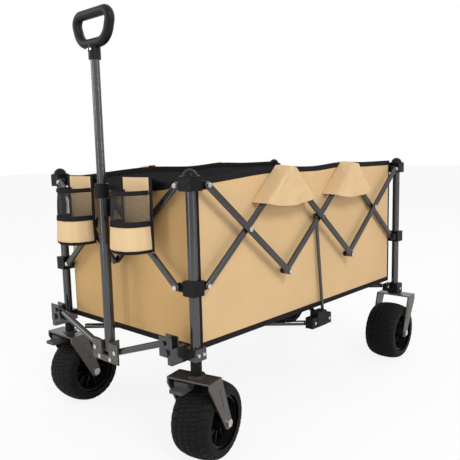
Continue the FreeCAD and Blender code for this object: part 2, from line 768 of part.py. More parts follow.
def grip_loop(radius):
    """A closed loop of round section: straight bar on top, wide bends below."""
    tall = size["grip_tall"]
    points = [Vector(50, 0, 0), Vector(72, 0, tall), Vector(-72, 0, tall), Vector(-50, 0, 0)]
    bends = [40.0, 20.0, 20.0, 40.0]
    count = len(points)
    arcs = []
    ends = []
    for n, corner in enumerate(points):
        back = (points[n - 1] - corner).normalize()
        ahead = (points[(n + 1) % count] - corner).normalize()
        half_angle = back.getAngle(ahead) / 2
        reach = bends[n] / math.tan(half_angle)
        inner = corner + (back + ahead).normalize() * (bends[n] / math.sin(half_angle) - bends[n])
        start = corner + back * reach
        finish = corner + ahead * reach
        arcs.append(Part.Arc(start, inner, finish).toShape())
        ends.append((start, finish))
    path = []
    for n, arc in enumerate(arcs):
        path.append(arc)
        path.append(Part.LineSegment(ends[n][1], ends[(n + 1) % count][0]).toShape())
    start = ends[0][1]
    ahead = (ends[1][0] - start).normalize()
    path = path[1:] + path[:1]
    ring = Part.Wire(Part.Circle(start, ahead, radius).toShape())
    return Part.Wire(path).makePipeShell([ring], True, True)


def rounded_rectangle(sketch, wide, deep, bend):
    x = wide / 2
    y = deep / 2
    turn = bend * (1 - math.sqrt(0.5))
    for sx, sy in ((1, 1), (-1, 1), (-1, -1), (1, -1)):
        down = Vector(sx * x, sy * (y - bend), 0)
        middle = Vector(sx * (x - turn), sy * (y - turn), 0)
        across = Vector(sx * (x - bend), sy * y, 0)
        sketch.addGeometry(Part.Arc(down, middle, across))
    for s in (1, -1):
        sketch.addGeometry(Part.LineSegment(Vector(bend - x, s * y, 0), Vector(x - bend, s * y, 0)))
        sketch.addGeometry(Part.LineSegment(Vector(s * x, bend - y, 0), Vector(s * x, y - bend, 0)))


def slab(label, wide, deep, bend, tall, low):
    body = new_body(label)
    outline = sketch_on(body, f"{label}_outline", "XY_Plane")
    rounded_rectangle(outline, wide, deep, bend)
    pad = body.newObject("PartDesign::Pad", f"{label}_pad")
    pad.Profile = outline
    bind(pad, Length=tall)
    body.Tip = pad
    body.Placement = Placement(at(0, 0, low), Rotation())
    return body


def cargo_bag():
    low = size["ear_height"] - 376
    wall = size["bag_wall"]
    corner = size["bag_corner"]
    outside = slab("bag_outside", size["bag_x"], size["bag_y"], corner, "bag_tall", low)
    inside = slab(
        "bag_inside",
        size["bag_x"] - 2 * wall,
        size["bag_y"] - 2 * wall,
        corner - wall,
        "bag_tall",
        low + wall,
    )
    keep("cargo_bag", [cut("bag_shell", outside, [inside])])
    mat_low = low + wall + 0.3
    mat = slab("floor_mat", size["mat_x"], size["mat_y"], corner - wall, "mat_thick", mat_low)
    nodes.append(mat)


def cup_holder(sx):
    """A pocket with a flat back that hangs over the front scissor bars."""
    side = "right" if sx > 0 else "left"
    name = f"cup_{side}"
    x = sx * 113
    back_y = -503
    low = size["ear_height"] - 152
    height = size["cup_tall"]
    straight_y = back_y - size["cup_back"] / 2
    box_at = at(x, straight_y, low + height / 2)
    box_out = block(f"{name}_box", ("cup_wide", "cup_back", "cup_tall"), box_at)
    round_at = at(x, back_y - size["cup_back"], low)
    round_out = rod(f"{name}_round", "cup_half", "cup_tall", round_at, UP)
    wall = size["cup_half"] - size["cup_half_in"]
    box_in = block(
        f"{name}_box_in",
        ("cup_wide_in", "cup_back_in", "cup_deep"),
        at(x, back_y - wall - size["cup_back_in"] / 2, low + wall + size["cup_deep"] / 2),
    )
    round_in = rod(f"{name}_round_in", "cup_half_in", "cup_deep", round_at + UP * wall, UP)
    for half_round in (round_out, round_in):
        half_round.Angle = 180
        half_round.Placement = Placement(half_round.Placement.Base, Rotation(UP, 180))
    outside = joined(f"{name}_out", [box_out, round_out])
    inside = joined(f"{name}_in", [box_in, round_in])
    shell = cut(f"{name}_shell", outside, [inside])
    panel_at = at(x, back_y + size["panel_thick"] / 2, low + size["panel_tall"] / 2)
    panel = block(f"{name}_panel", ("cup_wide", "panel_thick", "panel_tall"), panel_at)
    flap_y = back_y + size["panel_thick"] + size["flap_deep"] / 2 - 0.5
    flap_z = low + size["panel_tall"] - size["panel_thick"] / 2
    flap = block(f"{name}_flap", ("cup_wide", "flap_deep", "panel_thick"), at(x, flap_y, flap_z))
    keep(f"cup_holder_{side}", [joined(f"{name}_whole", [shell, panel, flap])])


def under_frame():
    """Two crossed pairs of tubes below the floor, from the posts to the centre struts."""
    low_z = 224.0
    high_z = 239.5
    radius = size["under_radius"]
    corner = under_corner
    hub = under_hub
    pieces = []
    for sy, end in ((-1, "front"), (1, "rear")):
        for sx, z, side in ((-1, low_z, "left"), (1, high_z, "right")):
            start = at(sx * corner.x, sy * corner.y, z)
            along = at(-sx * hub.x, sy * hub.y, z) - start
            pieces.append(rod(f"under_{end}_{side}", "under_radius", "under_bar", start, along))
        cross_y = sy * (corner.y + (hub.y - corner.y) * corner.x / (corner.x + hub.x))
        for n, z in enumerate((low_z - radius - size["under_disc_thick"], high_z + radius)):
            disc_at = at(0, cross_y, z)
            pieces.append(rod(f"under_{end}_disc_{n}", "under_disc", "under_disc_thick", disc_at, UP))
    keep("under_frame", pieces)


cargo_bag()
under_frame()
for corner in corners:
    post_cap(corner)
    slide_bracket(corner)
    caster_fork(corner, corner in ("fr", "fl"))
    wheel(corner)
for corner in ("fr", "fl"):
    front_post(corner)
    brake_pedal(corner)
for corner in ("rr", "rl"):
    rear_post(corner)
for sign in (1, -1):
    side_bars(sign)
    centre_strut(sign)
    tow_bar(sign)
    cup_holder(sign)
for sign in (-1, 1):
    end_bars(sign)
tow_plate()
handle()

doc.recompute()
faults = [item.Name for item in doc.Objects if {"Invalid", "Error"} & set(item.State)]
faults += [node.Label for node in nodes if node.Shape.isNull() or not node.Shape.isValid()]
if faults:
    raise RuntimeError(f"not built: {faults}")

boxes = [node.Shape.optimalBoundingBox(False) for node in nodes]
whole = boxes[0]
for box in boxes[1:]:
    whole.add(box)
print("nodes", len(nodes), "box", whole)
print("centre x", round(whole.Center.x, 3), "centre y", round(whole.Center.y, 3))

os.makedirs("parts", exist_ok=True)
for node in nodes:
    node.Shape.exportStep(f"parts/{node.Label}.step")
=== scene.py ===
import json
import math

import bpy
from mathutils import Matrix, Vector, noise


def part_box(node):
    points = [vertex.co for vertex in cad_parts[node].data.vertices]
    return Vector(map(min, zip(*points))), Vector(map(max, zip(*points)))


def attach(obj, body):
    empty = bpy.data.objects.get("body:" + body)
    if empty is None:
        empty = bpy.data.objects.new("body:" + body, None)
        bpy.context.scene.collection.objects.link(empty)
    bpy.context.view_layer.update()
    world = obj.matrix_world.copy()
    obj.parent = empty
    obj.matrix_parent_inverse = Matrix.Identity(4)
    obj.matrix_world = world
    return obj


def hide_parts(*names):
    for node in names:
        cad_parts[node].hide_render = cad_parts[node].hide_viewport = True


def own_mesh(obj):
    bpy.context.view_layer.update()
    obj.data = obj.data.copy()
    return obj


# A folding beach cart. The posts, bars, forks and tubes are the frame's own
# pieces; the cloth, tyres and small trim are modelled here, in metres.

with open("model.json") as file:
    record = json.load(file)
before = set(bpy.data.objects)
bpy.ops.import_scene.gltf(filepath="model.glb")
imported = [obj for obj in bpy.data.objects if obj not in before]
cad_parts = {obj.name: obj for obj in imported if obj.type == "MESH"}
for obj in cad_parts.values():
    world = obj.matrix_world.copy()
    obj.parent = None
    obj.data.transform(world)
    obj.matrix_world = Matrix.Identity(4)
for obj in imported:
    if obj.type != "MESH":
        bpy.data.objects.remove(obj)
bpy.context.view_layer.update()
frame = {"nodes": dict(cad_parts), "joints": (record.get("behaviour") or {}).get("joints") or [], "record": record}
bagLow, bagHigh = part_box("cargo_bag")
middle = Vector(((bagLow.x + bagHigh.x) / 2, (bagLow.y + bagHigh.y) / 2, 0))
halfX = 0.259  # post centres
halfY = 0.472
bagHalfX = 0.247
bagHalfY = (bagHigh.y - bagLow.y) / 2
corners = {"fr": (1, -1), "fl": (-1, -1), "rr": (1, 1), "rl": (-1, 1)}
print("frame loaded")


def place(x, y, z):
    return Vector((x + middle.x, y + middle.y, z))


def deselectAll():
    if bpy.context.object and bpy.context.object.mode != "OBJECT":
        bpy.ops.object.mode_set(mode="OBJECT")
    bpy.ops.object.select_all(action="DESELECT")


def activate(piece):
    deselectAll()
    piece.select_set(True)
    bpy.context.view_layer.objects.active = piece


def editAll(piece):
    activate(piece)
    bpy.ops.object.mode_set(mode="EDIT")
    bpy.ops.mesh.select_all(action="SELECT")


def finishEdit(piece, smoothAngle=35):
    editAll(piece)
    bpy.ops.mesh.remove_doubles(threshold=0.00002)
    bpy.ops.mesh.normals_make_consistent(inside=False)
    bpy.ops.object.mode_set(mode="OBJECT")
    bpy.ops.object.shade_smooth_by_angle(angle=math.radians(smoothAngle))
    piece.select_set(False)


def applyModifier(piece, kind, **settings):
    activate(piece)
    modifier = piece.modifiers.new(kind.title(), kind)
    for key, value in settings.items():
        setattr(modifier, key, value)
    bpy.ops.object.modifier_apply(modifier=modifier.name)


def named(name):
    piece = bpy.context.object
    piece.name = name
    piece.data.name = name
    return piece


def makeSheet(name, columns, rows, shape):
    deselectAll()
    bpy.ops.mesh.primitive_grid_add(x_subdivisions=columns, y_subdivisions=rows, size=1)
    piece = named(name)
    for vertex in piece.data.vertices:
        vertex.co = shape(vertex.co.x + 0.5, vertex.co.y + 0.5)
    return piece


def makeRod(name, radius, length, centre, direction, sides=24, bevel=0.0):
    deselectAll()
    bpy.ops.mesh.primitive_cylinder_add(vertices=sides, radius=radius, depth=length)
    piece = named(name)
    if bevel:
        editAll(piece)
        bpy.ops.mesh.bevel(offset=bevel, segments=3)
        bpy.ops.object.mode_set(mode="OBJECT")
    turn = Vector(direction).to_track_quat("Z", "Y").to_matrix().to_4x4()
    piece.data.transform(Matrix.Translation(centre) @ turn)
    return piece


def makeBlock(name, sides, centre, bevel=0.001, turn=0.0):
    deselectAll()
    bpy.ops.mesh.primitive_cube_add(size=1)
    piece = named(name)
    piece.data.transform(Matrix.Diagonal((*sides, 1)))
    editAll(piece)
    bpy.ops.mesh.bevel(offset=bevel, segments=3)
    bpy.ops.object.mode_set(mode="OBJECT")
    piece.data.transform(Matrix.Translation(centre) @ Matrix.Rotation(turn, 4, "Z"))
    return piece


def paint(piece, material):
    piece.data.materials.clear()
    piece.data.materials.append(material)


def fitTrim(piece, material, body):
    paint(piece, material)
    finishEdit(piece)
    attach(piece, body)


def between(value, points):
    for (a, fromValue), (b, toValue) in zip(points, points[1:]):
        if value <= b:
            share = max(0.0, (value - a) / (b - a))
            share = share * share * (3 - 2 * share)
            return fromValue + (toValue - fromValue) * share
    return points[-1][1]


# Materials.

def makeMaterial(
    name, colour, roughness, metallic=0.0, grain=0.0, grainScale=400.0, tone=0.0, toneScale=12.0, shine=0.5
):
    material = bpy.data.materials.new(name)
    material.use_nodes = True
    tree = material.node_tree
    shader = tree.nodes["Principled BSDF"]
    shader.inputs["Base Color"].default_value = (*colour, 1)
    shader.inputs["Roughness"].default_value = roughness
    shader.inputs["Metallic"].default_value = metallic
    shader.inputs["Specular IOR Level"].default_value = shine
    if not (grain or tone):
        return material
    coordinates = tree.nodes.new("ShaderNodeTexCoord")
    if tone:
        clouds = tree.nodes.new("ShaderNodeTexNoise")
        clouds.inputs["Scale"].default_value = toneScale
        clouds.inputs["Detail"].default_value = 4
        tree.links.new(coordinates.outputs["Object"], clouds.inputs["Vector"])
        ramp = tree.nodes.new("ShaderNodeValToRGB")
        low, high = ramp.color_ramp.elements
        low.position, high.position = 0.3, 0.7
        low.color = (*[c * (1 - tone) for c in colour], 1)
        high.color = (*[min(1, c * (1 + tone)) for c in colour], 1)
        tree.links.new(clouds.outputs["Fac"], ramp.inputs["Fac"])
        tree.links.new(ramp.outputs["Color"], shader.inputs["Base Color"])
    if grain:
        speckle = tree.nodes.new("ShaderNodeTexNoise")
        speckle.inputs["Scale"].default_value = grainScale
        tree.links.new(coordinates.outputs["Object"], speckle.inputs["Vector"])
        bump = tree.nodes.new("ShaderNodeBump")
        bump.inputs["Strength"].default_value = grain
        bump.inputs["Distance"].default_value = 0.0005
        tree.links.new(speckle.outputs["Fac"], bump.inputs["Height"])
        tree.links.new(bump.outputs["Normal"], shader.inputs["Normal"])
    return material


def makeCloth(name, colour, pitch=0.0012, strength=0.35, tone=0.04):
    material = makeMaterial(name, colour, 0.9, tone=tone, toneScale=9)
    tree = material.node_tree
    shader = tree.nodes["Principled BSDF"]
    coordinates = next(n for n in tree.nodes if n.type == "TEX_COORD")
    height = None
    for direction in ("X", "Y", "Z"):
        threads = tree.nodes.new("ShaderNodeTexWave")
        threads.bands_direction = direction
        threads.inputs["Scale"].default_value = 0.314 / pitch
        tree.links.new(coordinates.outputs["Object"], threads.inputs["Vector"])
        if height is None:
            height = threads.outputs["Fac"]
            continue
        total = tree.nodes.new("ShaderNodeMath")
        tree.links.new(height, total.inputs[0])
        tree.links.new(threads.outputs["Fac"], total.inputs[1])
        height = total.outputs[0]
    bump = tree.nodes.new("ShaderNodeBump")
    bump.inputs["Strength"].default_value = strength
    bump.inputs["Distance"].default_value = 0.0003
    tree.links.new(height, bump.inputs["Height"])
    tree.links.new(bump.outputs["Normal"], shader.inputs["Normal"])
    shader.inputs["Specular IOR Level"].default_value = 0.08
    return material


sideCloth = makeCloth("sideCloth", (0.66, 0.452, 0.240))
endCloth = makeCloth("endCloth", (0.60, 0.38, 0.165))
cupCloth = makeCloth("cupCloth", (0.735, 0.525, 0.303))
coverCloth = makeCloth("coverCloth", (0.69, 0.485, 0.272), strength=0.45)
binding = makeCloth("binding", (0.017, 0.016, 0.017), pitch=0.0009, tone=0.1)
lining = makeCloth("lining", (0.030, 0.030, 0.032), tone=0.1)
netting = makeMaterial("netting", (0.03, 0.03, 0.03), 0.8)
gunmetal = makeMaterial(
    "gunmetal", (0.088, 0.087, 0.089), 0.17, metallic=0.88, grain=0.04, grainScale=900)
darkSteel = makeMaterial(
    "darkSteel", (0.108, 0.096, 0.088), 0.3, metallic=0.7, grain=0.12, grainScale=600, tone=0.08,
    toneScale=30)
zinc = makeMaterial("zinc", (0.62, 0.61, 0.58), 0.22, metallic=1.0)
blackPlastic = makeMaterial(
    "blackPlastic", (0.005, 0.005, 0.006), 0.38, grain=0.15, grainScale=1500, shine=0.14)
gripPlastic = makeMaterial(
    "gripPlastic", (0.005, 0.005, 0.006), 0.42, grain=0.3, grainScale=1200, shine=0.2)
rimPlastic = makeMaterial("rimPlastic", (0.006, 0.006, 0.007), 0.3, grain=0.06, grainScale=800, shine=0.25)
tyreRubber = makeMaterial(
    "tyreRubber", (0.006, 0.006, 0.006), 0.62, grain=0.3, grainScale=900, tone=0.15, toneScale=25,
    shine=0.12)
brakeGrey = makeMaterial("brakeGrey", (0.055, 0.055, 0.053), 0.5, grain=0.1, shine=0.3)
print("materials made")

# Finish of the frame's own pieces. Rivets, bolts and pins are bright, and are
# told from the piece that holds them by which separate solid a face is in.


def islands(mesh):
    parent = list(range(len(mesh.vertices)))

    def root(i):
        while parent[i] != i:
            parent[i] = parent[parent[i]]
            i = parent[i]
        return i

    seen = {}
    for vertex in mesh.vertices:
        key = tuple(round(c, 5) for c in vertex.co)
        if key in seen:
            parent[root(vertex.index)] = root(seen[key])
        else:
            seen[key] = vertex.index
    for edge in mesh.edges:
        parent[root(edge.vertices[0])] = root(edge.vertices[1])
    groups = {}
    for polygon in mesh.polygons:
        groups.setdefault(root(polygon.vertices[0]), []).append(polygon)
    return list(groups.values())


def groupBox(mesh, group):
    points = [mesh.vertices[i].co for polygon in group for i in polygon.vertices]
    low = Vector([min(p[k] for p in points) for k in range(3)])
    high = Vector([max(p[k] for p in points) for k in range(3)])
    return low, high


def repaintGroups(name, material, fits):
    mesh = frame["nodes"][name].data
    mesh.materials.append(material)
    index = len(mesh.materials) - 1
    for group in islands(mesh):
        if fits(*groupBox(mesh, group)):
            for polygon in group:
                polygon.material_index = index


def finishNode(name, main, boltSize, slotName):
    piece = frame["nodes"][name]
    paint(piece, main)
    if boltSize:
        piece.data.materials.append(zinc)
        for group in islands(piece.data):
            low, high = groupBox(piece.data, group)
            if max(high - low) < boltSize:
                for polygon in group:
                    polygon.material_index = 1


def wheelAxle(corner):
    joint = next(j for j in frame["joints"] if j["name"] == f"wheel_spin_{corner}")
    return Vector(joint["axis"]).normalized(), Vector(joint["pos_m"])


def isFoot(low, high):
    return high.z < footTop and high.z - low.z > footTall


# Main finish, and the longest side of the zinc rivets and bolts in such a node.

finishes = {
    "bar_steel": (gunmetal, 0.028),
    "handle_steel": (gunmetal, 0.028),
    "post_steel": (gunmetal, 0.016),
    "fork_steel": (darkSteel, 0.045),
    "corner_plastic": (blackPlastic, 0.03),
    "strut_plastic": (blackPlastic, 0.02),
    "pedal_plastic": (brakeGrey, 0.012),
    "grip_plastic": (gripPlastic, None),
    "collar_plastic": (blackPlastic, None),
    "rim_plastic": (rimPlastic, None),
}
footTop = 0.2475
footTall = 0.03
hubTop = 0.2565
axleHead = {"out": 0.0572, "radius": 0.0097}
for subpart in frame["record"]["subparts"]:
    slotName = subpart["material_slot"]
    if slotName in finishes:
        finishNode(subpart["node"], *finishes[slotName], slotName)
for corner in corners:
    repaintGroups(f"corner_post_{corner}", blackPlastic, isFoot)
for side in ("right", "left"):
    mesh = frame["nodes"][f"centre_strut_{side}"].data
    mesh.materials.append(gunmetal)
    for polygon in mesh.polygons:
        if polygon.center.z > hubTop and polygon.material_index == 0:
            polygon.material_index = 2
for corner in corners:
    axle, hub = wheelAxle(corner)
    for polygon in frame["nodes"][f"caster_fork_{corner}"].data.polygons:
        arm = polygon.center - hub
        along = arm.dot(axle)
        if abs(along) > axleHead["out"] and (arm - along * axle).length < axleHead["radius"]:
            polygon.material_index = 1
print("frame pieces painted")

# The bag: two long walls, two short ones, four corner bindings and a floor.

bag = {
    "floorZ": 0.262,
    "wall": 0.0022,
    "bulge": 0.004,
    "wrinkle": 0.0012,
    "cornerGap": 0.021,
    "endGap": 0.012,
    "bindingTall": 0.014,
    "bindingThick": 0.0034,
    "columns": 120,
    "rows": 56,
    "hemUp": 0.02,
    "hemBelow": 0.4,
    "bandColumns": 90,
    "bandBevel": 0.0012,
}
sideRim = ((-0.47, 0.648), (-0.152, 0.664), (0.0, 0.660), (0.152, 0.667), (0.30, 0.663), (0.47, 0.663))
endRim = ((-0.25, 0.648), (-0.12, 0.634), (0.0, 0.628), (0.12, 0.634), (0.25, 0.648))


def crease(along, up, seed):
    spot = Vector((along * 9, up * 5, seed))
    fine = Vector((along * 31, up * 11, seed + 4))
    return noise.noise(spot) + 0.35 * noise.noise(fine)


def wallOut(along, up, seed):
    hold = math.sin(math.pi * along) * math.sin(math.pi * min(1, up)) ** 0.5
    return bag["bulge"] * hold * 0.6 + bag["wrinkle"] * hold * crease(along, up, seed)


def sidePoint(side, run, z, out):
    return place(side * (bagHalfX - 0.001 + out), run, z)


def endPoint(end, run, z, out):
    return place(run, end * (bagHalfY - 0.001 + out), z)


def makeWall(name, point, direction, halfRun, rim, seed, cloth):
    reach = halfRun - (bag["cornerGap"] if point is sidePoint else bag["endGap"])

    def shape(u, v):
        run = (2 * u - 1) * reach
        top = between(run, rim)
        z = bag["floorZ"] + v * (top - bag["floorZ"])
        return point(direction, run, z, wallOut(u, v, seed))

    piece = makeSheet(name, bag["columns"], bag["rows"], shape)
    paint(piece, cloth)
    piece.data.materials.append(lining)
    applyModifier(piece, "SOLIDIFY", thickness=bag["wall"], offset=0)
    for polygon in piece.data.polygons:
        offset = polygon.center - middle
        away = polygon.normal.x * offset.x if point is sidePoint else polygon.normal.y * offset.y
        polygon.material_index = 0 if away > 0 else 1
    finishEdit(piece, 60)
    return piece


def makeBand(name, point, direction, halfRun, low, high, seed, thick):
    reach = halfRun - (bag["cornerGap"] if point is sidePoint else bag["endGap"])

    def shape(u, v):
        run = (2 * u - 1) * reach
        bottom, top = low(run), high(run)
        up = bag["hemUp"] if top < bag["hemBelow"] else 1.0
        return point(direction, run, bottom + v * (top - bottom), wallOut(u, up, seed))

    piece = makeSheet(name, bag["bandColumns"], 4, shape)
    applyModifier(piece, "SOLIDIFY", thickness=thick, offset=0)
    applyModifier(piece, "BEVEL", width=bag["bandBevel"], segments=2, limit_method="ANGLE")
    paint(piece, binding)
    finishEdit(piece, 50)
    return piece


def squashSide(piece, side):
    body, x = ("post_fr", halfX) if side > 0 else ("post_fl", -halfX)
    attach(piece, body)
    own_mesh(piece)


def squashEnd(piece, end):
    body, y = ("post_fr", -halfY) if end < 0 else ("post_rr", halfY)
    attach(piece, body)
    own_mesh(piece)


faces = (
    ("right", sidePoint, 1, bagHalfY, sideRim, sideCloth, squashSide),
    ("left", sidePoint, -1, bagHalfY, sideRim, sideCloth, squashSide),
    ("front", endPoint, -1, bagHalfX, endRim, endCloth, squashEnd),
    ("rear", endPoint, 1, bagHalfX, endRim, endCloth, squashEnd),
)
for seed, (label, point, direction, halfRun, rim, cloth, squashFace) in enumerate(faces):
    wall = makeWall(f"bag_wall_{label}", point, direction, halfRun, rim, seed * 7.3, cloth)
    rimBand = makeBand(
        f"bag_rim_{label}", point, direction, halfRun,
        lambda run, rim=rim: between(run, rim) - bag["bindingTall"],
        lambda run, rim=rim: between(run, rim) + 0.001,
        seed * 7.3, bag["bindingThick"] + 0.001)
    hem = makeBand(
        f"bag_hem_{label}", point, direction, halfRun,
        lambda run: bag["floorZ"] - 0.003, lambda run: bag["floorZ"] + bag["bindingTall"] - 0.002,
        seed * 7.3, bag["bindingThick"])
    for piece in (wall, rimBand, hem):
        squashFace(piece, direction)
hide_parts("cargo_bag")


cornerBinding = {"bend": 0.022, "sweep": 71, "columns": 14, "rows": 40, "frontRim": 0.648, "rearRim": 0.662}


def makeCorner(corner):
    sx, sy = corners[corner]
    bend = cornerBinding["bend"]
    low = bag["floorZ"] - 0.003
    high = 0.001 + (cornerBinding["frontRim"] if sy < 0 else cornerBinding["rearRim"])

    def shape(u, v):
        angle = math.radians(cornerBinding["sweep"]) * u
        x = bagHalfX - bend * (1 - math.cos(angle))
        y = bagHalfY - bend * (1 - math.sin(angle))
        return place(sx * x, sy * y, low + v * (high - low))

    piece = makeSheet(f"bag_corner_{corner}", cornerBinding["columns"], cornerBinding["rows"], shape)
    applyModifier(piece, "SOLIDIFY", thickness=bag["bindingThick"], offset=0)
    paint(piece, binding)
    finishEdit(piece, 50)
    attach(piece, f"post_{corner}")


for corner in corners:
    makeCorner(corner)

# The bottom cloth is two halves, which lap over each other in the fold.

bottom = {"inset": 0.0015, "lap": 0.006, "thick": 0.0012, "frontZ": 0.2617, "rearZ": 0.2602}


def makeBottom(end, label, z):
    bend = cornerBinding["bend"]

    def shape(u, v):
        y = end * (-bottom["lap"] + (bagHalfY - bottom["inset"] + bottom["lap"]) * v)
        past = max(0, abs(y) - (bagHalfY - bend)) / bend
        reach = bagHalfX - bottom["inset"] - bend * (1 - math.sqrt(1 - past * past))
        return place((2 * u - 1) * reach, y, z)

    piece = makeSheet(f"bag_bottom_{label}", 40, 60, shape)
    applyModifier(piece, "SOLIDIFY", thickness=bottom["thick"], offset=0)
    paint(piece, lining)
    finishEdit(piece, 40)
    squashEnd(piece, end)


makeBottom(-1, "front", bottom["frontZ"])
makeBottom(1, "rear", bottom["rearZ"])

# The floor is four boards under cloth, which slide over each other in the fold.

board = {
    "count": 4,
    "thick": 0.007,
    "gap": 0.004,
    "halfX": 0.238,
    "ends": 0.016,
    "z": bag["floorZ"] + 0.0045,
    "crown": 0.0015,
}
boardRun = (2 * bagHalfY - board["ends"]) / board["count"]
for index in range(board["count"]):
    centreY = (index - (board["count"] - 1) / 2) * boardRun

    def boardShape(u, v, centreY=centreY):
        x = (2 * u - 1) * board["halfX"]
        y = centreY + (2 * v - 1) * (boardRun - board["gap"]) / 2
        edge = min(u, 1 - u, v, 1 - v)
        return place(x, y, board["z"] + board["crown"] * min(1, edge * 12))

    piece = makeSheet(f"floor_board_{index}", 40, 24, boardShape)
    applyModifier(piece, "SOLIDIFY", thickness=board["thick"], offset=0)
    applyModifier(piece, "BEVEL", width=0.002, segments=3, limit_method="ANGLE")
    paint(piece, lining)
    finishEdit(piece, 40)
    squashEnd(piece, -1 if index < board["count"] / 2 else 1)
    if index == 0:
        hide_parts("floor_mat")
print("bag made")

# Pointed covers over the upper joints of each long side.

cover = {
    "centreY": 0.1526,
    "tipHalf": 0.011,
    "hemHalf": 0.106,
    "tipZ": 0.669,
    "sideZ": 0.582,
    "hemDip": 0.014,
    "wallX": 0.2505,
    "bulge": 0.0435,
    "edge": 0.10,
    "roof": 0.08,
    "fold": 0.0026,
    "thick": 0.0014,
    "flat": (0.29, 0.14),
    "area": 0.0235,
    "columns": 80,
    "rows": 48,
}


def coverShape(side, centreY, seed):
    def shape(u, v):
        w = math.sin(math.pi * (u - 0.5))
        y = centreY + w * (cover["tipHalf"] + (cover["hemHalf"] - cover["tipHalf"]) * v)
        z = cover["tipZ"] - (cover["tipZ"] - cover["sideZ"] + cover["hemDip"] * (1 - w * w)) * v
        edge = math.sin(min(1, (1 - abs(w)) / cover["edge"]) * math.pi / 2)
        roof = math.sin(min(1, v / cover["roof"]) * math.pi / 2)
        crumple = math.sin(w * 8 + seed) * v + 1.2 * noise.noise(Vector((w * 3.2 + seed, v * 4.5, seed)))
        out = (cover["bulge"] + cover["fold"] * crumple) * edge * roof
        return place(side * (cover["wallX"] + out), y, z)

    return shape


for side, label in ((1, "right"), (-1, "left")):
    for number, end in enumerate((-1, 1)):
        shape = coverShape(side, end * cover["centreY"], number * 2.7 + side)
        piece = makeSheet(f"cover_{label}_{number}", cover["columns"], cover["rows"], shape)
        applyModifier(piece, "SOLIDIFY", thickness=cover["thick"], offset=0)
        paint(piece, coverCloth)
        finishEdit(piece, 60)
        squashSide(piece, side)
print("covers made")

# Two pockets on the front: cloth below, a band, netting, and an elastic rim.

cup = {
    "centreX": 0.113,
    "backY": -0.5045,
    "deep": 0.058,
    "halfLow": 0.0515,
    "halfTop": 0.0415,
    "toe": 0.006,
    "toeTall": 0.012,
    "bottomZ": 0.486,
    "bandLow": 0.545,
    "bandHigh": 0.557,
    "rimLow": 0.6155,
    "rimHigh": 0.625,
    "panelTop": 0.655,
    "netCell": 0.0026,
    "netWire": 0.0009,
    "flapHalf": 0.054,
    "flapSag": 0.003,
    "clothThick": 0.0016,
    "bandThick": 0.0022,
    "rimThick": 0.0034,
    "strip": (0.009, 0.0034),
    "stripX": 0.052,
    "corner": 0.72,
    "taper": (1.08, 0.95),
}


def cupOutline(u, z, grow=0.0):
    share = (z - cup["bottomZ"]) / (cup["rimHigh"] - cup["bottomZ"])
    half = cup["halfLow"] + (cup["halfTop"] - cup["halfLow"]) * share + grow
    lowDepth, topDepth = cup["taper"]
    depth = cup["deep"] * (lowDepth + (topDepth - lowDepth) * share) + grow
    tuck = cup["toe"] * max(0, 1 - (z - cup["bottomZ"]) / cup["toeTall"]) ** 2
    half -= tuck
    depth -= tuck
    angle = math.pi * u
    x = half * math.copysign(abs(math.cos(angle)) ** cup["corner"], math.cos(angle))
    y = -depth * math.sin(angle) ** cup["corner"]
    return x, y


def cupSheet(name, centreX, low, high, rows, grow, columns=72, wave=0.0):
    def shape(u, v):
        z = low + (high - low) * v
        x, y = cupOutline(u, z, grow)
        ripple = wave * math.sin(u * math.pi * 13) * math.sin(math.pi * v)
        return place(centreX + x * (1 + ripple), cup["backY"] + y * (1 + ripple), z)

    return makeSheet(name, columns, rows, shape)


def finishCup(piece, material, thick):
    if thick:
        applyModifier(piece, "SOLIDIFY", thickness=thick, offset=0)
    paint(piece, material)
    finishEdit(piece, 50)
    squashEnd(piece, -1)


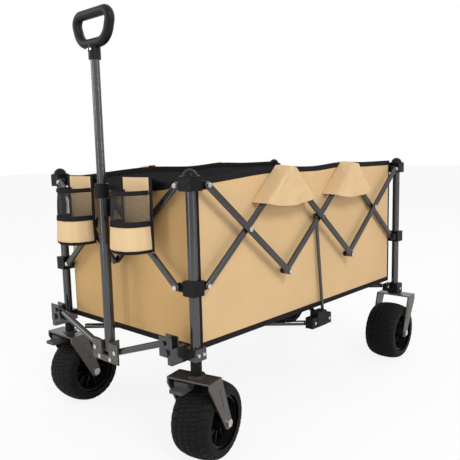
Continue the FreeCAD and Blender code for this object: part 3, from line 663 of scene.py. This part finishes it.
for side, label in ((1, "right"), (-1, "left")):
    centreX = side * cup["centreX"]
    top = cup["bandLow"] + 0.003
    body = cupSheet(f"cup_cloth_{label}", centreX, cup["bottomZ"], top, 16, 0.0, wave=0.012)
    finishCup(body, cupCloth, cup["clothThick"])
    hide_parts(f"cup_holder_{label}")

    def bottomShape(u, v, centreX=centreX):
        x, y = cupOutline(u, cup["bottomZ"], -0.0005)
        return place(centreX + x, cup["backY"] + y * v, cup["bottomZ"] + 0.001)

    finishCup(makeSheet(f"cup_floor_{label}", 48, 12, bottomShape), binding, cup["clothThick"])
    low, high = cup["bottomZ"] - 0.001, cup["bottomZ"] + 0.006
    baseBand = cupSheet(f"cup_base_band_{label}", centreX, low, high, 6, 0.0012)
    finishCup(baseBand, binding, cup["bandThick"])
    band = cupSheet(f"cup_band_{label}", centreX, cup["bandLow"], cup["bandHigh"], 4, 0.0012)
    finishCup(band, binding, cup["bandThick"])
    elastic = cupSheet(f"cup_rim_{label}", centreX, cup["rimLow"], cup["rimHigh"], 6, 0.0014, 140, 0.012)
    finishCup(elastic, binding, cup["rimThick"])
    cells = int((cup["rimLow"] - cup["bandHigh"] + 0.004) / cup["netCell"])
    low, high = cup["bandHigh"] - 0.002, cup["rimLow"] + 0.002
    net = cupSheet(f"cup_net_{label}", centreX, low, high, cells, 0.0, 72, 0.02)
    applyModifier(net, "WIREFRAME", thickness=cup["netWire"], use_even_offset=False)
    finishCup(net, netting, 0)

    def panelShape(u, v, centreX=centreX):
        z = cup["bottomZ"] - 0.002 + v * (cup["panelTop"] - cup["bottomZ"] + 0.002)
        return place(centreX + (2 * u - 1) * cup["flapHalf"], cup["backY"] + 0.0008, z)

    finishCup(makeSheet(f"cup_panel_{label}", 20, 24, panelShape), cupCloth, cup["clothThick"])
    stripSides = (*cup["strip"], cup["panelTop"] - cup["bottomZ"])
    stripZ = (cup["panelTop"] + cup["bottomZ"]) / 2
    for edge, edgeName in ((-1, "in"), (1, "out")):
        stripAt = place(centreX + edge * cup["stripX"], cup["backY"], stripZ)
        strip = makeBlock(f"cup_strip_{label}_{edgeName}", stripSides, stripAt, 0.001)
        finishCup(strip, binding, 0)

    def flapShape(u, v, centreX=centreX):
        x = centreX + (2 * u - 1) * cup["flapHalf"]
        nearY, farY = cup["backY"], -bagHalfY + 0.001
        farZ = between(x, endRim) + 0.0025
        sag = cup["flapSag"] * math.sin(math.pi * v)
        return place(x, nearY + (farY - nearY) * v, cup["panelTop"] + (farZ - cup["panelTop"]) * v - sag)

    flap = makeSheet(f"cup_flap_{label}", 30, 16, flapShape)
    finishCup(flap, binding, cup["bandThick"])
print("cup pockets made")

# Balloon tyres with a zig-zag tread, and ribbed rims.

tyre = {
    "radius": 0.092,
    "half": 0.049,
    "bead": 0.062,
    "columns": 432,
    "rows": 84,
    "blocks": 54,
    "groove": 0.0022,
    "crown": 0.006,
    "spread": 0.98,
    "treadEdge": 0.62,
    "treadEnd": 0.80,
    "lines": (-0.42, -0.14, 0.14, 0.42),
    "lineHalf": 0.028,
    "zigzag": 0.025,
    "slant": 1.4,
    "thick": 0.0015,
}


def tyreProfile(v):
    w = 2 * v - 1
    lean = abs(w)
    edge = tyre["treadEdge"]
    edgeRadius = tyre["radius"] - tyre["crown"]
    if lean < edge:
        across = tyre["half"] * tyre["spread"] * min(1, lean * 1.32)
        return math.copysign(across, w), tyre["radius"] - tyre["crown"] * (lean / edge) ** 2.4
    share = (lean - edge) / (1 - edge)
    out = tyre["half"] * (0.802 + 0.198 * math.sin(min(1, share * 2.2) * math.pi / 2))
    return math.copysign(out, w), edgeRadius - (edgeRadius - tyre["bead"]) * share ** 1.15


def treadDepth(u, v):
    w = 2 * v - 1
    lean = abs(w)
    if lean > tyre["treadEnd"]:
        return 0.0
    turn = u * tyre["blocks"]
    zigzag = abs((turn % 2) - 1) * 2 - 1
    depth = 0.0
    for line in tyre["lines"]:
        gap = abs(w - line - tyre["zigzag"] * zigzag)
        depth = max(depth, 1 - gap / tyre["lineHalf"])
    inner = lean < tyre["lines"][-1]
    cell = (turn / (1 if inner else 2) + tyre["slant"] * w) % 1
    wide = 0.16 if inner else 0.10
    depth = max(depth, 1 - abs(cell - 0.5) / wide)
    return tyre["groove"] * max(0, min(1, depth * 2))


def tyreShape(u, v):
    across, radius = tyreProfile(v)
    angle = 2 * math.pi * u
    radius -= treadDepth(u, v)
    return Vector((across, radius * math.cos(angle), radius * math.sin(angle)))


masterTyre = makeSheet("tyre_master", tyre["columns"], tyre["rows"], tyreShape)
applyModifier(masterTyre, "SOLIDIFY", thickness=tyre["thick"], offset=-1)
paint(masterTyre, tyreRubber)
finishEdit(masterTyre, 40)

rim = {
    "spokes": 10,
    "inner": 0.022,
    "outer": 0.055,
    "thick": 0.0032,
    "depth": 0.018,
    "spokeX": 0.021,
    "ringX": 0.0405,
    "ringOut": 0.0615,
    "ringIn": 0.0555,
    "ringThick": 0.004,
}


def makeRimTrim():
    parts = []
    spokeSides = (rim["depth"], rim["outer"] - rim["inner"], rim["thick"])
    mid = (rim["inner"] + rim["outer"]) / 2
    for side in (-1, 1):
        for index in range(rim["spokes"]):
            turn = Matrix.Rotation(2 * math.pi * index / rim["spokes"], 4, "X")
            spoke = makeBlock("spoke", spokeSides, (0, 0, 0), 0.0009)
            spoke.data.transform(turn @ Matrix.Translation((side * rim["spokeX"], mid, 0)))
            parts.append(spoke)
        ringAt = (side * rim["ringX"], 0, 0)
        ring = makeRod("ring", rim["ringOut"], rim["ringThick"], ringAt, (1, 0, 0), 96)
        cutter = makeRod("cutter", rim["ringIn"], 5 * rim["ringThick"], ringAt, (1, 0, 0), 96)
        applyModifier(ring, "BOOLEAN", object=cutter, operation="DIFFERENCE")
        bpy.data.objects.remove(cutter)
        parts.append(ring)
    activate(parts[0])
    for part in parts:
        part.select_set(True)
    bpy.ops.object.join()
    trim = named("rim_trim_master")
    paint(trim, rimPlastic)
    finishEdit(trim, 35)
    return trim


masterTrim = makeRimTrim()
for corner in corners:
    low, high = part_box(f"tyre_{corner}")
    centre = (low + high) / 2
    axle = wheelAxle(corner)[0]
    up = Vector((0, 0, 1))
    turn = Matrix((axle, up.cross(axle), up)).transposed().to_4x4()
    for master, label in ((masterTyre, "tyre_tread"), (masterTrim, "rim_spokes")):
        copy = master.copy()
        copy.data = master.data.copy()
        copy.name = copy.data.name = f"{label}_{corner}"
        bpy.context.scene.collection.objects.link(copy)
        copy.data.transform(Matrix.Translation(centre) @ turn)
        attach(copy, f"wheel_{corner}")
        if label == "tyre_tread":
            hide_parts(f"tyre_{corner}")
for master in (masterTyre, masterTrim):
    bpy.data.objects.remove(master)
print("wheels made")

# Crossed tubes under the floor, each carried by the corner post at its outer end.

underFrame = {
    "cornerX": 0.228,
    "cornerY": 0.441,
    "hubX": 0.246,
    "hubY": 0.034,
    "lowZ": 0.224,
    "highZ": 0.2395,
    "radius": 0.007,
    "discRadius": 0.020,
    "discTall": 0.0035,
    "folded": 0.44,
}
for end, endName in ((-1, "front"), (1, "rear")):
    for side, sideName, z in ((-1, "left", underFrame["lowZ"]), (1, "right", underFrame["highZ"])):
        outer = place(side * underFrame["cornerX"], end * underFrame["cornerY"], z)
        inner = place(-side * underFrame["hubX"], end * underFrame["hubY"], z)
        tube = makeRod(
            f"under_tube_{endName}_{sideName}", underFrame["radius"], (inner - outer).length,
            (inner + outer) / 2, inner - outer, 28, 0.0012)
        fitTrim(tube, gunmetal, f"post_{endName[0]}{sideName[0]}")
        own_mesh(tube)
        if end < 0 and side < 0:
            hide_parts("under_frame")
    crossShare = underFrame["cornerX"] / (underFrame["cornerX"] + underFrame["hubX"])
    crossY = underFrame["cornerY"] + (underFrame["hubY"] - underFrame["cornerY"]) * crossShare
    stand = underFrame["radius"] + underFrame["discTall"] / 2
    for discZ, level in ((underFrame["lowZ"] - stand, "low"), (underFrame["highZ"] + stand, "high")):
        disc = makeRod(
            f"under_disc_{endName}_{level}", underFrame["discRadius"], underFrame["discTall"],
            place(0, end * crossY, discZ), (0, 0, 1), 40, 0.001)
        fitTrim(disc, blackPlastic, "cargo")
print("under-floor tubes made")

# Rivet heads where the bars cross and meet, and plastic buttons behind them.

pivots = {
    "radius": 0.0058,
    "tall": 0.0026,
    "buttonRadius": 0.008,
    "buttonTall": 0.009,
    "buttonX": 0.2605,
    "crossY": 0.3051,
    "crossZ": 0.5235,
    "apexY": 0.1526,
    "apexZ": 0.3965,
    "frontFaceX": 0.2855,
    "rearFaceX": 0.2755,
}


def makeRivet(name, side, faceX, y, z, bar):
    centre = place(side * (faceX + pivots["tall"] / 2), y, z)
    head = makeRod(name, pivots["radius"], pivots["tall"], centre, (1, 0, 0), 28, 0.0009)
    fitTrim(head, zinc, bar)


crossings = (
    ("front_cap_bar", pivots["frontFaceX"], -pivots["crossY"]),
    ("mid_falling_bar", pivots["frontFaceX"], 0.0),
    ("rear_cap_bar", pivots["rearFaceX"], pivots["crossY"]),
)
for side, label in ((1, "right"), (-1, "left")):
    for ending, faceX, y in crossings:
        bar = f"{label}_{ending}"
        makeRivet(f"rivet_{bar}", side, faceX, y, pivots["crossZ"], bar)
for side, label in ((1, "right"), (-1, "left")):
    for ending, y in (("front_cap_bar", -pivots["apexY"]), ("mid_falling_bar", pivots["apexY"])):
        bar = f"{label}_{ending}"
        makeRivet(f"apex_rivet_{bar}", side, pivots["frontFaceX"], y, pivots["apexZ"], bar)
    for ending, y in (("mid_rising_bar", -pivots["apexY"]), ("rear_cap_bar", pivots["apexY"])):
        button = makeRod(
            f"apex_button_{label}_{ending}", pivots["buttonRadius"], pivots["buttonTall"],
            place(side * pivots["buttonX"], y, pivots["apexZ"]), (1, 0, 0), 32, 0.002)
        fitTrim(button, blackPlastic, f"{label}_{ending}")
print("pivot trim made")

# Brims round the post caps, and the pressed ribs on the fork arms.

brim = {"radius": 0.0225, "tall": 0.0028, "z": 0.6558}
rib = {"sides": (0.0014, 0.009, 0.052), "out": 0.0572, "along": 0.56, "crownZ": 0.210}
for corner, (sx, sy) in corners.items():
    brimAt = place(sx * halfX, sy * halfY, brim["z"])
    ring = makeRod(f"cap_brim_{corner}", brim["radius"], brim["tall"], brimAt, (0, 0, 1), 48, 0.001)
    fitTrim(ring, blackPlastic, f"post_{corner}")
    axle, hub = wheelAxle(corner)
    arm = place(sx * halfX, sy * halfY, rib["crownZ"]) - hub
    arm -= axle * arm.dot(axle)
    turn = Matrix((axle, arm.normalized().cross(axle), arm.normalized())).transposed().to_4x4()
    for side, sideName in ((-1, "in"), (1, "out")):
        bead = makeBlock(f"fork_rib_{corner}_{sideName}", rib["sides"], (0, 0, 0), 0.0006)
        bead.data.transform(Matrix.Translation(hub + arm * rib["along"] + axle * side * rib["out"]) @ turn)
        fitTrim(bead, darkSteel, f"fork_{corner}")

# Ears on the rear feet, which hold the outer ends of the under-floor tubes.

ear = {
    "sides": (0.017, 0.040, 0.024),
    "inward": (0.012, 0.030),
    "z": 0.2385,
    "rivet": 0.0055,
    "rivetTall": 0.0022,
    "rivetY": 0.008,
}
for corner in ("rr", "rl"):
    sx, sy = corners[corner]
    centre = place(sx * (halfX - ear["inward"][0]), sy * (halfY - ear["inward"][1]), ear["z"])
    block = makeBlock(f"foot_ear_{corner}", ear["sides"], centre, 0.003)
    face = Vector((sx * (ear["sides"][0] / 2 + 0.0008), -sy * ear["rivetY"], 0))
    head = makeRod(
        f"foot_rivet_{corner}", ear["rivet"], ear["rivetTall"], centre + face, (sx, 0, 0), 28, 0.0008)
    fitTrim(block, blackPlastic, f"post_{corner}")
    fitTrim(head, zinc, f"post_{corner}")
print("cap, fork and foot trim made")

# Handle trim: a clip below the collar, and two screws on the grip's neck.

handle = {
    "y": -0.518,
    "clip": (0.012, 0.016, 0.046),
    "clipX": 0.0185,
    "clipZ": 0.582,
    "screw": 0.0032,
    "screwTall": 0.003,
    "screwX": 0.0055,
    "screwOut": 0.0150,
    "screwZ": 0.9475,
}
clip = makeBlock("handle_clip", handle["clip"], place(handle["clipX"], handle["y"], handle["clipZ"]), 0.003)
fitTrim(clip, blackPlastic, "handle_lower")
for index, side in enumerate((-1, 1)):
    screwAt = place(side * handle["screwX"], handle["y"] - handle["screwOut"], handle["screwZ"])
    screw = makeRod(
        f"grip_screw_{index}", handle["screw"], handle["screwTall"], screwAt, (0, -1, 0), 20, 0.0006)
    fitTrim(screw, zinc, "handle_upper")
print("handle trim made")

# Studio: pale floor, white surround, soft light.

studio = {"floor": 40, "worldLight": 0.62, "floorShade": 0.92, "floorWhite": 0.86}
deselectAll()
bpy.ops.mesh.primitive_plane_add(size=studio["floor"], location=(middle.x, middle.y, -0.0005))
floor = named("studio_floor")
floorPaint = bpy.data.materials.new("studioFloor")
floorPaint.use_nodes = True
tree = floorPaint.node_tree
shader = tree.nodes["Principled BSDF"]
shader.inputs["Base Color"].default_value = (*(studio["floorShade"],) * 3, 1)
shader.inputs["Roughness"].default_value = 0.9
shader.inputs["Specular IOR Level"].default_value = 0.1
glow = tree.nodes.new("ShaderNodeEmission")
glow.inputs["Strength"].default_value = 1
sight = tree.nodes.new("ShaderNodeLightPath")
share = tree.nodes.new("ShaderNodeMath")
share.operation = "MULTIPLY"
share.inputs[1].default_value = studio["floorWhite"]
tree.links.new(sight.outputs["Is Camera Ray"], share.inputs[0])
floorMix = tree.nodes.new("ShaderNodeMixShader")
tree.links.new(share.outputs[0], floorMix.inputs[0])
tree.links.new(shader.outputs[0], floorMix.inputs[1])
tree.links.new(glow.outputs[0], floorMix.inputs[2])
tree.links.new(floorMix.outputs[0], tree.nodes["Material Output"].inputs["Surface"])
paint(floor, floorPaint)

world = bpy.data.worlds.new("studio")
bpy.context.scene.world = world
world.use_nodes = True
tree = world.node_tree
background = tree.nodes["Background"]
background.inputs["Color"].default_value = (1, 1, 1, 1)
background.inputs["Strength"].default_value = studio["worldLight"]
seen = tree.nodes.new("ShaderNodeBackground")
seen.inputs["Color"].default_value = (1, 1, 1, 1)
seen.inputs["Strength"].default_value = 1
path = tree.nodes.new("ShaderNodeLightPath")
anyRay = path.outputs["Is Camera Ray"]
for kind in ("Is Glossy Ray", "Is Transmission Ray"):
    either = tree.nodes.new("ShaderNodeMath")
    either.operation = "MAXIMUM"
    tree.links.new(anyRay, either.inputs[0])
    tree.links.new(path.outputs[kind], either.inputs[1])
    anyRay = either.outputs[0]
mix = tree.nodes.new("ShaderNodeMixShader")
tree.links.new(anyRay, mix.inputs[0])
tree.links.new(background.outputs[0], mix.inputs[1])
tree.links.new(seen.outputs[0], mix.inputs[2])
tree.links.new(mix.outputs[0], tree.nodes["World Output"].inputs["Surface"])

lamps = (
    ("key", (2.8, -1.4, 2.6), 1.0, 1.0, 54),
    ("fill", (-2.2, -2.8, 1.6), 1.6, 1.6, 28),
    ("back", (0.5, 3.0, 2.8), 2.4, 2.4, 22),
    ("leftStrip", (0.1, -3.0, 0.6), 0.12, 1.8, 9),
    ("rightStrip", (3.0, 0.5, 0.6), 0.12, 1.8, 8),
)
for name, spot, wide, tall, power in lamps:
    data = bpy.data.lights.new(name, "AREA")
    data.shape = "RECTANGLE"
    data.size = wide
    data.size_y = tall
    data.energy = power
    lamp = bpy.data.objects.new(name, data)
    bpy.context.scene.collection.objects.link(lamp)
    lamp.location = middle + Vector(spot)
    lamp.rotation_euler = (Vector((0, 0, 0.4)) - Vector(spot)).to_track_quat("-Z", "Y").to_euler()

eye = {"azimuth": 42.9, "down": 7.77, "roll": -1.41, "lens": 45.28, "spot": (1.1678, -1.3276, 0.7075)}
azimuth, down, roll = (math.radians(eye[k]) for k in ("azimuth", "down", "roll"))
back = Vector((math.sin(azimuth) * math.cos(down), -math.cos(azimuth) * math.cos(down), math.sin(down)))
level = Vector((math.cos(azimuth), math.sin(azimuth), 0))
upright = back.cross(level)
across = level * math.cos(roll) + upright * math.sin(roll)
upward = -level * math.sin(roll) + upright * math.cos(roll)
cameraData = bpy.data.cameras.new("camera")
cameraData.lens = eye["lens"]
cameraData.sensor_width = 36
camera = bpy.data.objects.new("camera", cameraData)
bpy.context.scene.collection.objects.link(camera)
bpy.context.scene.camera = camera
aim = Matrix((across, upward, back)).transposed().to_4x4()
camera.matrix_world = Matrix.Translation(place(*eye["spot"])) @ aim
bpy.context.scene.view_settings.view_transform = "Standard"

print("studio made")
